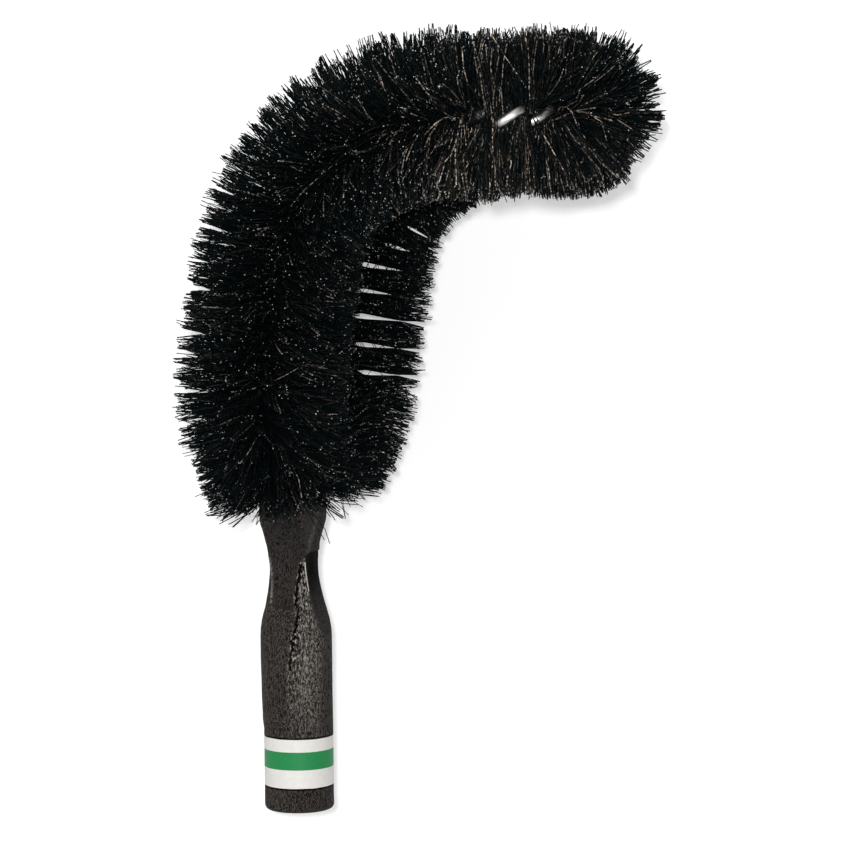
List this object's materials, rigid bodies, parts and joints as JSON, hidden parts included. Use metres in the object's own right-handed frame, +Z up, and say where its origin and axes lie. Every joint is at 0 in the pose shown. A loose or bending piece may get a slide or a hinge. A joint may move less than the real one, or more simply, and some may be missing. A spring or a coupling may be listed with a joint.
{
  "type": "pipe brush",
  "caption": "Hooked pipe brush: a turned wooden handle that carries a bent loop of twisted wire, filled with stiff bristles, for brushing over pipes and ledges.",
  "frame": {"origin": "centre of the handle's lower end face, at the mouth of the pole socket", "axes": "+Z up the handle's axis, +X the way the hook reaches, the two legs of the loop side by side along Y"},
  "size_m": [0.2078, 0.1492, 0.3435],
  "materials": {
    "handle_wood": "black stained wood with open grain, satin",
    "label_paper": "white coated paper band with one plain green stripe",
    "spine_wire": "galvanised round wire",
    "bristle": "black stiff bristle with a low sheen"
  },
  "bodies": {
    "root": {"handle": "handle_wood", "label_band": "label_paper", "spine_wire_a": "spine_wire", "spine_wire_b": "spine_wire", "near_leg_bristles_1": "bristle", "near_leg_bristles_2": "bristle", "near_leg_bristles_3": "bristle", "near_leg_bristles_4": "bristle", "near_leg_bristles_5": "bristle", "near_leg_bristles_6": "bristle", "near_leg_bristles_7": "bristle", "far_leg_bristles_1": "bristle", "far_leg_bristles_2": "bristle", "far_leg_bristles_3": "bristle", "far_leg_bristles_4": "bristle", "far_leg_bristles_5": "bristle", "far_leg_bristles_6": "bristle", "far_leg_bristles_7": "bristle", "tip_bristles_1": "bristle", "tip_bristles_2": "bristle", "tip_bristles_3": "bristle", "tip_bristles_4": "bristle"}
  },
  "joints": []
}
